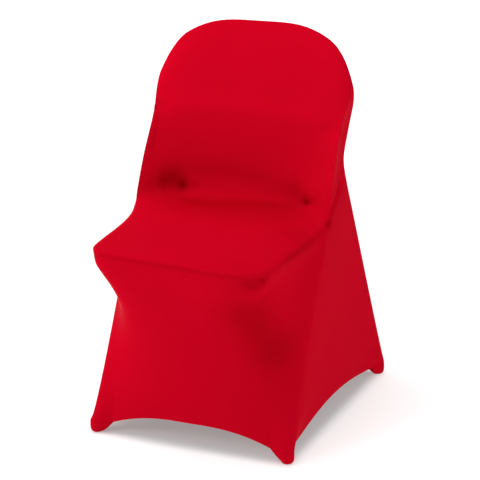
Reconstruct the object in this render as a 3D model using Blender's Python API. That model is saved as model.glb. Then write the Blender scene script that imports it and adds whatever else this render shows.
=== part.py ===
"""Stretch-knit cover for a folding chair, in the shape it keeps on the chair.

Metres, +Z up, -Y to the front. The origin is on the floor under the middle of the cover, and
right (+X) and left are as seen from the front. The cover is a hollow shell: six panels of knit
that meet along seams, and four cups for the feet.

The panels are first laid out as one coarse net of quads, drawn through the lines that hold the
cloth out: the leg ridges, the seat edge, the rim of the backrest and the hems. A subdivision surface rounds that net, and each panel is then cut out of it and
given its thickness, a seam gap away from its neighbours.
"""
import bmesh
import bpy
import numpy as np
from math import acos, cos, degrees, radians, sin

for item in list(bpy.data.objects):
    bpy.data.objects.remove(item, do_unlink=True)

# Cloth
CLOTH = 0.0020                # thickness of the knit
SEAM_GAP = 0.0003             # space between two panels at a seam
JOIN_REACH = 0.00002          # corners of the net this close are one
KNIT_RED = (0.62, 0.004, 0.018, 1.0)
KNIT_ROUGHNESS = 0.55

# The cover is measured from the line between its front feet, which is this far in front of
# the origin.
FRONT_FEET_Y = -0.2335

# Pieces of the net between two seams
ACROSS = 10                   # across the hood, the seat and the back
SEAT_SIDE = 4                 # along each side of the seat, before its rounded corner
SIDE_ACROSS = 7               # from the front leg ridge to the rear leg ridge
BELOW_SEAT = 5                # up the leg ridges, from a foot pocket to the seat edge
SEAT_LIP = 3                  # down the edge of the seat
TO_NOTCH = 4                  # from the seat up to the lower corner of the backrest
TO_POINT = 2                  # from there up to the point of the side panel
TO_CORNER = 2                 # from the point up to the middle of the hood's corner
CORNER_TO_TOP = 3             # from there to the start of the flat top
FLAT_TOP = ACROSS // 2 - CORNER_TO_TOP

# Foot pockets: centre of each foot on the floor, and the cup's own sizes
FRONT_FOOT = (0.2212, 0.0)
REAR_FOOT = (0.2268, 0.5500)
POCKET_HEIGHT = 0.0260
POCKET_TABLE = [              # height, radius of the round part
    (0.0000, 0.0060),
    (0.0014, 0.0106),
    (0.0060, 0.0138),
    (0.0130, 0.0148),
    (0.0200, 0.0148),
    (POCKET_HEIGHT, 0.0146),
]
POCKET_LOBE = 0.0240          # how far the cup's rim is drawn out towards each hem
LOBE_POWER = 6                # how sharply the rim turns in again under the cover
POCKET_AROUND = 20
POCKET_RIM_Z = POCKET_HEIGHT + SEAM_GAP

SKIRT_PULL = 0.72             # sideways share of the pull in the skirt, under the seat's corners

# Hem arches, which rise between the feet
HEM_RISE = 0.0315
HEM_POWER = 2.5

# Lines that the cloth is stretched over: out, back, up, and net pieces to the next row
FRONT_RIDGE = [
    (0.2282, -0.0130, POCKET_RIM_Z, BELOW_SEAT),
    (0.2256, 0.1890, 0.4050, SEAT_LIP),
    (0.2255, 0.2150, 0.4550, TO_NOTCH // 2),
    (0.2225, 0.2600, 0.5550, TO_NOTCH - TO_NOTCH // 2),
    (0.2165, 0.3080, 0.6500, TO_POINT - 1),
    (0.2260, 0.3350, 0.6925, 1),
]
REAR_RIDGE = [
    (0.2396, 0.5580, POCKET_RIM_Z, BELOW_SEAT + SEAT_LIP),
    (0.2205, 0.3450, 0.5150, 1),
    (0.2150, 0.3360, 0.5650, TO_NOTCH - 2),
    (0.2145, 0.3590, 0.6170, 1),
    (0.2160, 0.3760, 0.6580, TO_POINT - 1),
    (0.2260, 0.3700, 0.6950, 1),
]

# Seat: outline from the leg ridge to the front corner, the front edge, and the edge's section
SEAT_Z = 0.4430
SEAT_OUTLINE = [              # out, back, up, pieces
    (0.2255, 0.2150, 0.4550, 1),
    (0.2135, 0.1600, 0.4450, 1),
    (0.2110, 0.0850, SEAT_Z, SEAT_SIDE - 2),
    (0.2060, -0.0480, SEAT_Z, 1),
    (0.1940, -0.0800, SEAT_Z, 1),
    (0.1600, -0.0910, SEAT_Z, ACROSS // 2 - 1),
    (0.0000, -0.0895, SEAT_Z, 0),
]
SEAT_LIP_TABLE = [            # drop below the edge, inset behind it
    (0.0520, 0.0165),
    (0.0360, 0.0065),
    (0.0170, 0.0040),
]
SEAT_RISE_POWER = 3.0

# Crease between the seat and the hood, from the leg ridge through the dimple to the middle
CREASE = [                    # out, back, up, pieces
    (0.2255, 0.2150, 0.4550, 1),
    (0.1900, 0.2500, 0.4680, 1),
    (0.1490, 0.3000, 0.4700, 1),
    (0.0950, 0.2890, 0.4640, ACROSS // 2 - 3),
    (0.0000, 0.2860, 0.4610, 0),
]
HOOD_FALL = [                 # middle of the hood's front, crease to backrest: up, back, power
    (0.4870, 0.2930, 3.0),
    (0.5150, 0.3070, 3.5),
    (0.5800, 0.3185, 4.0),
]

# Hood: a slab that leans back, with a rounded outline
HOOD_MID = (0.3440, 0.6550)   # back, up of a point half way through the slab
HOOD_LEAN = 0.205
HOOD_HALF_TABLE = [(0.650, 0.0300), (0.700, 0.0235), (0.847, 0.0160)]   # up, half thickness
HOOD_FRONT_BOW = 0.0140
HOOD_BACK_BOW = 0.0100
CORNER_CENTRE = (0.0600, 0.6900)
CORNER_RADII = (0.1690, 0.1560)
CORNER_POWER = 0.90           # under 1 fills the corner out a little past an ellipse
POINT_ANGLE = 16.7            # where the side panel's point lies on the rounded corner
CORNER_ANGLE = 48.0
RIM_INSETS = (0.0, 0.0060, 0.0220)
TUBE_INSETS = (0.0, 0.0080, 0.0240)

# The cover does not sit quite square: the hood is a little higher on one side and shifted
# above the seat, and the seat is further forward on one side
HOOD_TILT = 0.030
HOOD_SHIFT = 0.0015
SEAT_TURN = 0.060


def ridge_line(rows, last=None):
    """A smooth line through the rows of a table, with each row's number of pieces."""
    keys = [np.array(row[:3]) for row in rows] + ([np.array(last)] if last is not None else [])
    counts = [row[3] for row in rows][:len(keys) - 1]
    reach = [np.linalg.norm(b - a) for a, b in zip(keys, keys[1:])]
    slopes = [(keys[1] - keys[0]) / reach[0]]
    for i in range(1, len(keys) - 1):
        slopes.append((keys[i + 1] - keys[i - 1]) / (reach[i - 1] + reach[i]))
    slopes.append((keys[-1] - keys[-2]) / reach[-1])
    points = [keys[0]]
    for i, count in enumerate(counts):
        for t in np.linspace(0.0, 1.0, count + 1)[1:]:
            start, end = 1 - t * t * (3 - 2 * t), t * t * (3 - 2 * t)
            pull = reach[i] * (t * (1 - t) ** 2 * slopes[i] - t * t * (1 - t) * slopes[i + 1])
            points.append(start * keys[i] + end * keys[i + 1] + pull)
    return np.array(points)


def mirrored(points):
    """The same points on the other side of the cover."""
    return np.asarray(points) * (-1.0, 1.0, 1.0)


def both_sides(points):
    """A line from one side to the other, from its half that runs from +X to the middle."""
    return np.concatenate([mirrored(points), points[-2::-1]])


def filled(bottom, top, left, right):
    """A net between four border lines."""
    u = np.linspace(0.0, 1.0, len(bottom))[None, :, None]
    v = np.linspace(0.0, 1.0, len(left))[:, None, None]
    across = (1 - u) * left[:, None] + u * right[:, None]
    along = (1 - v) * bottom[None] + v * top[None]
    corners = (1 - v) * ((1 - u) * bottom[0] + u * bottom[-1]) + v * ((1 - u) * top[0] + u * top[-1])
    return across + along - corners


def stretched(net, across=0.5, rounds=80):
    """The net drawn tight between its borders, as stretch knit is. across is the sideways share
    of the pull."""
    net = net.copy()
    for _ in range(rounds):
        upright = (net[:-2, 1:-1] + net[2:, 1:-1]) / 2
        sideways = (net[1:-1, :-2] + net[1:-1, 2:]) / 2
        net[1:-1, 1:-1] = (1 - across) * upright + across * sideways
    return net


def table_value(table, at, column=1):
    """A column of a table, read between its rows."""
    return np.interp(at, [row[0] for row in table], [row[column] for row in table])


def hood_middle(z):
    """Distance back of the middle of the hood's slab at a height."""
    return HOOD_MID[0] + HOOD_LEAN * (z - HOOD_MID[1])


def hood_edge(angle):
    """Outline of the hood's rounded corner: out, back, up."""
    out = CORNER_CENTRE[0] + CORNER_RADII[0] * abs(cos(radians(angle))) ** CORNER_POWER
    up = CORNER_CENTRE[1] + CORNER_RADII[1] * sin(radians(angle)) ** CORNER_POWER
    return np.array((out, hood_middle(up), up))


POINT = hood_edge(POINT_ANGLE)
FRONT_LINE = ridge_line(FRONT_RIDGE, POINT)
REAR_LINE = ridge_line(REAR_RIDGE, POINT)
SEAT_ROW = BELOW_SEAT + SEAT_LIP
NOTCH_ROW = SEAT_ROW + TO_NOTCH
POINT_ROW = NOTCH_ROW + TO_POINT
CORNER_ANGLES = np.linspace(POINT_ANGLE, CORNER_ANGLE, TO_CORNER + 1)[1:]
CORNER_LINE = np.array([hood_edge(angle) for angle in CORNER_ANGLES])
ARC_ANGLES = np.linspace(CORNER_ANGLE, 90.0, CORNER_TO_TOP + 1)
FLAT_X = np.linspace(CORNER_CENTRE[0], 0.0, FLAT_TOP + 1)[1:]
TOP_Z = CORNER_CENTRE[1] + CORNER_RADII[1]
TOP_HALF = np.array([hood_edge(angle) for angle in ARC_ANGLES]
                    + [(x, hood_middle(TOP_Z), TOP_Z) for x in FLAT_X])
TOP_LINE = both_sides(TOP_HALF)
CREASE_HALF = ridge_line(CREASE)
CREASE_LINE = both_sides(CREASE_HALF)


def inward(point):
    """Direction from the hood's outline into the hood, seen from the front: out, up."""
    reach = np.array(((abs(point[0]) - CORNER_CENTRE[0]) / CORNER_RADII[0] ** 2,
                      (point[2] - CORNER_CENTRE[1]) / CORNER_RADII[1] ** 2))
    reach = np.maximum(reach, 0.0)
    return -reach / np.linalg.norm(reach) * (np.sign(point[0]) or 1.0, 1.0)


def hood_face(x, z, side):
    """Distance back of the hood's front face (side -1) or back face (side 1)."""
    bow = HOOD_FRONT_BOW if side < 0 else HOOD_BACK_BOW
    hollow = bow * max(0.0, 1.0 - (x / CORNER_RADII[0] / 1.25) ** 2)
    return hood_middle(z) + side * table_value(HOOD_HALF_TABLE, z) + hollow


def hood_net(side_line, side):
    """Upper hood, from the notches to the top. side_line is its edge on +X, going up."""
    rows = len(side_line) - 1
    net = np.zeros((rows + 1, ACROSS + 1, 3))
    left, right = mirrored(side_line), side_line
    width = side_line[0][0]
    for r in range(rows + 1):
        for c in range(ACROSS + 1):
            from_side, from_top = min(c, ACROSS - c), rows - r
            ring = min(from_side, from_top)
            if ring > 2 or (from_top > 2 and from_side > 2):
                continue
            if from_side <= from_top:
                edge = (left if c < ACROSS / 2 else right)[r if from_side < from_top else rows]
            else:
                edge = TOP_LINE[c]
            if ring == 0:
                net[r, c] = edge
                continue
            step = inward(edge) * RIM_INSETS[ring] if edge[2] > side_line[0][2] + 0.01 else \
                np.array((-np.sign(edge[0]) * TUBE_INSETS[ring], 0.0))
            x, z = edge[0] + step[0], edge[2] + step[1]
            y = hood_face(x, z, side)
            if ring == 1:
                full = np.clip((edge[2] - side_line[0][2]) / (POINT[2] - side_line[0][2]), 0, 1)
                y -= side * (0.35 * table_value(HOOD_HALF_TABLE, z) * full - 0.001 * (1 - full))
            net[r, c] = (x, y, z)
    inner_width = net[0, ACROSS - 2, 0] / width
    for c in range(3, ACROSS - 2):
        x = (2.0 * (c - 2) / (ACROSS - 4) - 1.0) * inner_width * width
        net[0, c] = (x, hood_face(x, side_line[0][2], side), side_line[0][2])
    inside = net[:rows - 1, 2:ACROSS - 1]
    patch = filled(inside[0], inside[-1], inside[:, 0], inside[:, -1])
    for r in range(1, patch.shape[0] - 1):
        for c in range(1, patch.shape[1] - 1):
            x, _, z = patch[r, c]
            net[r, c + 2] = (x, hood_face(x, z, side), z)
    return net


def hood_front_net():
    """Front of the hood: the fall from the backrest to the crease, then the upper hood."""
    upper = hood_net(np.concatenate([FRONT_LINE[NOTCH_ROW:], CORNER_LINE]), -1)
    lower = [CREASE_LINE]
    for r in range(1, TO_NOTCH):
        seam = FRONT_LINE[SEAT_ROW + r]
        middle_up, middle_back, power = HOOD_FALL[r - 1]
        settled = min(1.0, r / 2.0)
        half = []
        for c in range(ACROSS // 2 + 1):
            share = c / (ACROSS // 2)
            if c < 3:
                straight = seam[0] - TUBE_INSETS[c]
            else:
                straight = (seam[0] - TUBE_INSETS[2]) * (ACROSS / 2 - c) / (ACROSS / 2 - 2)
            x = (1 - settled) * CREASE_HALF[c][0] + settled * straight
            back = middle_back - (middle_back - seam[1]) * (x / seam[0]) ** power
            if c == 1:
                back -= 0.004
            half.append((x, back, seam[2] + (middle_up - seam[2]) * share))
        half[0] = tuple(seam)
        lower.append(both_sides(np.array(half)))
    return np.concatenate([np.array(lower), upper])


def seat_net():
    """Seat panel, from its front edge back to the crease."""
    outline = ridge_line(SEAT_OUTLINE)
    corner = SEAT_SIDE + 1
    front = both_sides(outline[corner:])
    side = outline[corner::-1]
    net = filled(front, CREASE_LINE, mirrored(side), side)
    share = np.linspace(0.0, 1.0, net.shape[0])[1:-1, None]
    rise = CREASE_LINE[None, 1:-1, 2] - SEAT_Z
    net[1:-1, 1:-1, 2] = SEAT_Z + rise * share ** SEAT_RISE_POWER
    return net


def on_rim(foot, angle, lobe=False):
    """A point on a pocket's rim, on its round part or at the tip of a lobe."""
    reach = POCKET_TABLE[-1][1] + (POCKET_LOBE if lobe else 0.0)
    return np.array((foot[0] + reach * cos(radians(angle)), foot[1] + reach * sin(radians(angle)),
                     POCKET_RIM_Z))


def hem_half(start, middle, count):
    """Half a hem arch, from a pocket's lobe to the middle of the arch."""
    start, middle = np.array(start), np.array(middle)
    share = np.linspace(0.0, 1.0, count + 1)[:, None]
    points = start + (middle - start) * share
    points[:, 2] = start[2] + HEM_RISE * (1 - (1 - share[:, 0]) ** HEM_POWER)
    return points


def skirt_net():
    """Front skirt: from the hem up to the seat edge, from one leg ridge round to the other."""
    outline = ridge_line(SEAT_OUTLINE)
    half = len(outline) - 1
    arch = hem_half(on_rim(FRONT_FOOT, 180.0, True), (0.0, -0.012, 0.0), half - 2)
    hem = both_sides(np.concatenate([[FRONT_LINE[0], on_rim(FRONT_FOOT, 250.0)], arch]))
    top = both_sides(outline)
    columns = len(top)
    middle = np.array((0.0, 0.10, 0.0))
    lip = []
    for r, (drop, inset) in enumerate(SEAT_LIP_TABLE):
        seam = FRONT_LINE[BELOW_SEAT + r]
        row = []
        for c in range(columns):
            held = min(1.0, min(c, columns - 1 - c) / 2.0)
            away = (top[c] - middle) * (1, 1, 0)
            edge = top[c] - away / np.linalg.norm(away) * inset - (0, 0, drop)
            ridge = seam if top[c][0] > 0 else mirrored(seam)
            row.append(held * edge + (1 - held) * ridge)
        lip.append(row)
    lip = np.array(lip)
    ridge = FRONT_LINE[:BELOW_SEAT + 1]
    free = stretched(filled(hem, lip[0], mirrored(ridge), ridge), SKIRT_PULL)
    return np.concatenate([free, lip[1:], top[None]])


def side_net():
    """Right side panel, with the fold that runs from the seat's rear corner to the rear leg."""
    front_tip, rear_tip = on_rim(FRONT_FOOT, 90.0, True), on_rim(REAR_FOOT, 270.0, True)
    hem = [FRONT_LINE[0], on_rim(FRONT_FOOT, 0.0), front_tip]
    for share in np.linspace(0.0, 1.0, SIDE_ACROSS - 3)[1:-1]:
        point = front_tip + (rear_tip - front_tip) * share
        point[2] += HEM_RISE * (1 - abs(2 * share - 1) ** HEM_POWER)
        hem.append(point)
    hem = np.array(hem + [rear_tip, on_rim(REAR_FOOT, -10.0), REAR_LINE[0]])
    share = np.linspace(0.0, 1.0, SIDE_ACROSS + 1)[:, None]
    fold = FRONT_LINE[SEAT_ROW] * (1 - share) + REAR_LINE[SEAT_ROW] * share
    fold[1:-1, 0] += 0.002
    lower = filled(hem, fold, FRONT_LINE[:SEAT_ROW + 1], REAR_LINE[:SEAT_ROW + 1])
    lower = stretched(lower)
    upper = []
    for front, rear in zip(FRONT_LINE[SEAT_ROW + 1:POINT_ROW], REAR_LINE[SEAT_ROW + 1:POINT_ROW]):
        row = front * (1 - share) + rear * share
        row[:, 0] -= 0.10 * np.linalg.norm(rear - front) * (share * (1 - share))[:, 0]
        upper.append(row)
    return np.concatenate([lower, np.array(upper)])


def back_net():
    """Back panel, from the rear hem up to the top of the hood, seen from the front."""
    upper = hood_net(np.concatenate([REAR_LINE[NOTCH_ROW:], CORNER_LINE]), 1)
    arch = hem_half(on_rim(REAR_FOOT, 180.0, True), (0.0, REAR_FOOT[1], 0.0), ACROSS // 2 - 2)
    hem = both_sides(np.concatenate([[REAR_LINE[0], on_rim(REAR_FOOT, 105.0)], arch]))
    side = REAR_LINE[:NOTCH_ROW + 1]
    lower = stretched(filled(hem, upper[0], mirrored(side), side))
    return np.concatenate([lower, upper[1:]])


def set_uneven(points):
    """The whole net as it really sits: hood a little tilted, seat edge a little turned."""
    points = points.copy()
    x, y, z = points.T.copy()
    high = np.clip((z - 0.62) / 0.16, 0.0, 1.0)
    points[:, 2] += HOOD_TILT * x * high * high * (3 - 2 * high)
    points[:, 0] -= HOOD_SHIFT * np.exp(-((z - 0.57) / 0.07) ** 2)
    near_seat = np.exp(-((z - SEAT_Z) / 0.10) ** 2) * np.clip((0.16 - y) / 0.20, 0.0, 1.0)
    points[:, 1] -= SEAT_TURN * x * near_seat
    points[:, 1] += FRONT_FEET_Y
    return points


class Net:
    """Quads of all the panels. Their borders are joined later, where they meet."""

    def __init__(self):
        self.points, self.faces, self.panels = [], [], []

    def add(self, panel, grid, tip=None):
        """A panel's grid, with its rows going up and its columns going to the viewer's right."""
        first = len(self.points)
        rows, columns = grid.shape[:2]
        self.points += [tuple(point) for row in grid for point in row]
        for r in range(rows - 1):
            for c in range(columns - 1):
                low, high = first + r * columns + c, first + (r + 1) * columns + c
                self.faces.append((low, low + 1, high + 1, high))
        if tip is not None:
            top_row = first + (rows - 1) * columns
            self.points.append(tuple(tip))
            for c in range(columns - 1):
                self.faces.append((top_row + c, top_row + c + 1, len(self.points) - 1))
        self.panels += [panel] * (len(self.faces) - len(self.panels))


def knit_material(name):
    """Smooth red stretch knit."""
    material = bpy.data.materials.new(name)
    material.use_nodes = True
    shader = material.node_tree.nodes["Principled BSDF"]
    shader.inputs["Base Color"].default_value = KNIT_RED
    shader.inputs["Roughness"].default_value = KNIT_ROUGHNESS
    shader.inputs["Metallic"].default_value = 0.0
    material.diffuse_color = KNIT_RED
    return material


def rounded_net(net):
    """The net as one mesh, rounded by a subdivision surface."""
    mesh = bpy.data.meshes.new("net")
    mesh.from_pydata([tuple(p) for p in set_uneven(np.array(net.points))], [], net.faces)
    for panel in PANELS:
        mesh.materials.append(knit_material("knit_" + panel))
    mesh.polygons.foreach_set("material_index", net.panels)
    joined = bmesh.new()
    joined.from_mesh(mesh)
    bmesh.ops.remove_doubles(joined, verts=joined.verts, dist=JOIN_REACH)
    sharpness = joined.edges.layers.float.new("crease_edge")
    for edge in joined.edges:
        meeting = {PANELS[face.material_index] for face in edge.link_faces}
        for pair, value in SEAM_SHARPNESS:
            if meeting == set(pair):
                edge[sharpness] = value
    pinned = joined.verts.layers.float.new("crease_vert")
    for vert in joined.verts:
        if vert.co.z < POCKET_RIM_Z + JOIN_REACH:
            vert[pinned] = 1.0
    joined.to_mesh(mesh)
    joined.free()
    whole = bpy.data.objects.new("net", mesh)
    bpy.context.collection.objects.link(whole)
    surface = whole.modifiers.new("rounding", "SUBSURF")
    surface.levels = surface.render_levels = 1
    surface.boundary_smooth = "PRESERVE_CORNERS"
    evaluated = whole.evaluated_get(bpy.context.evaluated_depsgraph_get())
    rounded = bpy.data.meshes.new_from_object(evaluated)
    bpy.data.objects.remove(whole, do_unlink=True)
    return rounded


def halves(points, face):
    """A quad cut along its shorter diagonal, so that both faces of the cloth fold alike."""
    if len(face) == 3:
        return [face]
    a, b, c, d = face
    if np.linalg.norm(points[a] - points[c]) < np.linalg.norm(points[b] - points[d]) + SEAM_GAP:
        return [(a, b, c), (a, c, d)]
    return [(a, b, d), (b, c, d)]


def solid(name, points, normals, faces, material):
    """A closed piece of cloth: the outer face, the inner face and the rim round its edges.

    Each piece of the rim is cut from the lower outer corner to the other inner one, which is the
    same cut on both sides of a seam.
    """
    used = sorted({i for face in faces for i in face})
    place = {old: new for new, old in enumerate(used)}
    faces = [tuple(place[i] for i in face) for face in faces]
    outer, normals = points[used], normals[used]
    edges = {}
    for face in faces:
        for a, b in zip(face, face[1:] + face[:1]):
            edges[(a, b)] = face
    rim = [(a, b) for a, b in edges if (b, a) not in edges]
    pull = np.zeros_like(outer)
    for a, b in rim:
        centre = outer[list(edges[(a, b)])].mean(axis=0)
        along = outer[b] - outer[a]
        along /= np.linalg.norm(along)
        inside = centre - outer[a]
        inside -= along * inside.dot(along)
        out = normals[a] + normals[b]
        inside -= out * inside.dot(out) / out.dot(out)
        inside /= np.linalg.norm(inside)
        pull[a] += inside
        pull[b] += inside
    length = np.linalg.norm(pull, axis=1, keepdims=True)
    outer = outer + np.where(length > 0, pull / np.maximum(length, 1e-9), 0.0) * SEAM_GAP / 2
    inner = outer - normals * CLOTH
    count = len(outer)
    shell = [half for face in faces for half in halves(outer, face)]
    shell += [tuple(i + count for i in reversed(half)) for half in shell]
    for a, b in rim:
        if tuple(np.round(outer[a], 3)[::-1]) < tuple(np.round(outer[b], 3)[::-1]):
            shell += [(b, a, b + count), (a, a + count, b + count)]
        else:
            shell += [(b, a, a + count), (b, a + count, b + count)]
    mesh = bpy.data.meshes.new(name)
    mesh.from_pydata([tuple(p) for p in np.concatenate([outer, inner])], [], shell)
    mesh.materials.append(material)
    mesh.shade_smooth()
    mesh.set_sharp_from_angle(angle=radians(50.0))
    bpy.context.collection.objects.link(bpy.data.objects.new(name, mesh))


def cup_reach(angle, radius, tip, lobes):
    """How far the cup reaches from the foot's middle. Outside, the knit runs straight from the
    round part to the tip of each lobe, and under the cover it turns in sharply."""
    reach = radius
    for lobe, outer in lobes:
        off = ((angle - lobe) * outer + 180.0) % 360.0 - 180.0
        straight = degrees(acos(radius / tip))
        if 0.0 <= off <= straight:
            reach = max(reach, radius / cos(radians(straight - off)))
        elif -90.0 < off < 0.0:
            reach = max(reach, radius + (tip - radius) * cos(radians(off)) ** LOBE_POWER)
    return reach


def foot_pocket(name, foot, side, lobes):
    """A cup of knit round one foot, its rim drawn out towards the two hems beside it."""
    points = [(foot[0], foot[1], 0.0)]
    for height, radius in POCKET_TABLE:
        for step in range(POCKET_AROUND):
            angle = 360.0 * step / POCKET_AROUND
            tip = radius + POCKET_LOBE * height / POCKET_HEIGHT + SEAM_GAP
            reach = cup_reach(angle, radius, tip, lobes)
            points.append((foot[0] + reach * cos(radians(angle)),
                           foot[1] + reach * sin(radians(angle)), height))
    faces = []
    for step in range(POCKET_AROUND):
        following = (step + 1) % POCKET_AROUND
        faces.append((0, 1 + following, 1 + step))
        for ring in range(len(POCKET_TABLE) - 1):
            low, high = 1 + ring * POCKET_AROUND, 1 + (ring + 1) * POCKET_AROUND
            faces.append((low + step, low + following, high + following, high + step))
    points = np.array(points)
    if side < 0:
        points = mirrored(points)
        faces = [tuple(reversed(face)) for face in faces]
    points[:, 1] += FRONT_FEET_Y
    solid(name, points, level_rim(points, vertex_normals(points, faces)), faces,
          knit_material("knit_" + name))


def vertex_normals(points, faces):
    """Normals of a mesh at its corners, weighted by the angles of the faces that meet there."""
    normals = np.zeros_like(points)
    for face in faces:
        for before, here, after in zip(face[-1:] + face[:-1], face, face[1:] + face[:1]):
            one, other = points[after] - points[here], points[before] - points[here]
            normal = np.cross(one, other)
            size = np.linalg.norm(normal)
            normals[here] += normal / size * np.arctan2(size, one.dot(other))
    return normals / np.maximum(np.linalg.norm(normals, axis=1, keepdims=True), 1e-12)


def level_rim(points, normals):
    """The same normals, but level where a pocket and the panels above it meet."""
    normals = normals.copy()
    at_rim = abs(points[:, 2] - POCKET_HEIGHT) < 2 * SEAM_GAP
    normals[at_rim, 2] = 0.0
    normals[at_rim] /= np.linalg.norm(normals[at_rim], axis=1, keepdims=True)
    return normals


PANELS = ["hood_front", "seat", "skirt_front", "side_right", "side_left", "back"]
SEAM_SHARPNESS = [(("seat", "skirt_front"), 0.35), (("seat", "hood_front"), 0.50)]
SEAM_SHARPNESS += [((edge, side), 0.80) for side in ("side_right", "side_left")
                   for edge in ("hood_front", "skirt_front", "back")]

net = Net()
net.add(PANELS.index("hood_front"), hood_front_net())
net.add(PANELS.index("seat"), seat_net())
net.add(PANELS.index("skirt_front"), skirt_net())
side = side_net()
net.add(PANELS.index("side_right"), side, POINT)
net.add(PANELS.index("side_left"), mirrored(side)[:, ::-1], mirrored(POINT))
net.add(PANELS.index("back"), back_net()[:, ::-1])

cloth = rounded_net(net)
cloth_points = np.array([tuple(v.co) for v in cloth.vertices])
cloth_faces = [tuple(p.vertices) for p in cloth.polygons]
cloth_panels = [p.material_index for p in cloth.polygons]
cloth_normals = level_rim(cloth_points, vertex_normals(cloth_points, cloth_faces))
for number, panel in enumerate(PANELS):
    own = [face for face, place in zip(cloth_faces, cloth_panels) if place == number]
    solid(panel, cloth_points, cloth_normals, own, cloth.materials[number])

# Each foot: its name, its place, and the direction and outer side of its two lobes
for end, foot, lobes in (("front", FRONT_FOOT, ((180.0, 1), (90.0, -1))),
                         ("rear", REAR_FOOT, ((180.0, -1), (270.0, 1)))):
    foot_pocket("pocket_" + end + "_right", foot, 1, lobes)
    foot_pocket("pocket_" + end + "_left", foot, -1, lobes)
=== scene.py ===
"""Looks of a stretch-knit chair cover, in the shape it keeps when it is in use.

Metres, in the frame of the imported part: +Z up, -Y to the front, and right (+X) and left are as
seen from the front. The six large panels are first laid out as one net of quads, drawn through
the lines that hold the cloth out. The net is then rounded, given its creases, cut into its
panels along the seams, and each panel gets the thickness of the knit.
"""
import bmesh
import bpy
import numpy as np
from math import acos, cos, degrees, radians, sin
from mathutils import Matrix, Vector


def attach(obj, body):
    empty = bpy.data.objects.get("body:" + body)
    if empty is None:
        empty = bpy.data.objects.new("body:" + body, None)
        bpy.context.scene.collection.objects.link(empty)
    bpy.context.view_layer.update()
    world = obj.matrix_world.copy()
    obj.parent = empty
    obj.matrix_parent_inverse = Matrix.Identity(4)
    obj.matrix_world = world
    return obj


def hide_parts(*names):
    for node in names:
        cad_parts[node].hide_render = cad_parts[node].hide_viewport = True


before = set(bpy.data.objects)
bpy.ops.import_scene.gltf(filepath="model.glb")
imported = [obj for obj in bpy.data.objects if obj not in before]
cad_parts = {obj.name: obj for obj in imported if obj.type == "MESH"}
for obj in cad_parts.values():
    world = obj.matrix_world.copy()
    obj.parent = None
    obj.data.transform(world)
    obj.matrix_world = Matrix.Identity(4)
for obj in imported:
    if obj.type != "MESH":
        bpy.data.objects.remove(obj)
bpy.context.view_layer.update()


# Hood's front panel
# Satin knit stretched over a rounded slab that leans back. Below the slab it falls back to the
# seat, where two dimples pull it in. It is sewn to the side panels and over the top to the back.

SEAM_GAP = 0.0003             # space between two of the part's panels at a seam
# The cover is measured from the line between its front feet, which is this far in front of
# the origin.
FRONT_FEET_Y = -0.2335

# Pieces of the net between two seams
ACROSS = 10                   # across the hood, the seat and the back
BELOW_SEAT = 5                # up the corner ridges, from a foot pocket to the seat edge
SEAT_LIP = 3                  # down the edge of the seat
TO_NOTCH = 4                  # from the seat up to the lower corner of the slab
TO_POINT = 2                  # from there up to the point of the side panel
TO_CORNER = 2                 # from the point up to the middle of the hood's corner
CORNER_TO_TOP = 3             # from there to the start of the flat top
FLAT_TOP = ACROSS // 2 - CORNER_TO_TOP

# Lines that the cloth is stretched over: out, back, up, and net pieces to the next row
POCKET_HEIGHT = 0.0260
POCKET_RIM_Z = POCKET_HEIGHT + SEAM_GAP
FRONT_RIDGE = [
    (0.2282, -0.0130, POCKET_RIM_Z, BELOW_SEAT),
    (0.2256, 0.1890, 0.4050, SEAT_LIP),
    (0.2255, 0.2150, 0.4550, TO_NOTCH // 2),
    (0.2225, 0.2600, 0.5550, TO_NOTCH - TO_NOTCH // 2),
    (0.2165, 0.3080, 0.6500, TO_POINT - 1),
    (0.2260, 0.3350, 0.6925, 1),
]

# Crease between the seat and the hood, from the corner ridge through the dimple to the middle
CREASE = [                    # out, back, up, pieces
    (0.2255, 0.2150, 0.4550, 1),
    (0.1900, 0.2500, 0.4680, 1),
    (0.1490, 0.3000, 0.4700, 1),
    (0.0950, 0.2890, 0.4640, ACROSS // 2 - 3),
    (0.0000, 0.2860, 0.4610, 0),
]
HOOD_FALL = [                 # middle of the hood's front, from the crease up: up, back, power
    (0.4870, 0.2930, 3.0),
    (0.5150, 0.3070, 3.5),
    (0.5800, 0.3185, 4.0),
]

# The slab, with its rounded outline
HOOD_MID = (0.3440, 0.6550)   # back, up of a point half way through the slab
HOOD_LEAN = 0.205
HOOD_HALF_TABLE = [(0.650, 0.0300), (0.700, 0.0235), (0.847, 0.0160)]   # up, half thickness
HOOD_FRONT_BOW = 0.0140
HOOD_BACK_BOW = 0.0100
CORNER_CENTRE = (0.0600, 0.6900)
CORNER_RADII = (0.1690, 0.1560)
CORNER_POWER = 0.90           # under 1 fills the corner out a little past an ellipse
POINT_ANGLE = 16.7            # where the side panel's point lies on the rounded corner
CORNER_ANGLE = 48.0
RIM_INSETS = (0.0, 0.0060, 0.0220)
SIDE_INSETS = (0.0, 0.0080, 0.0240)


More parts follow.
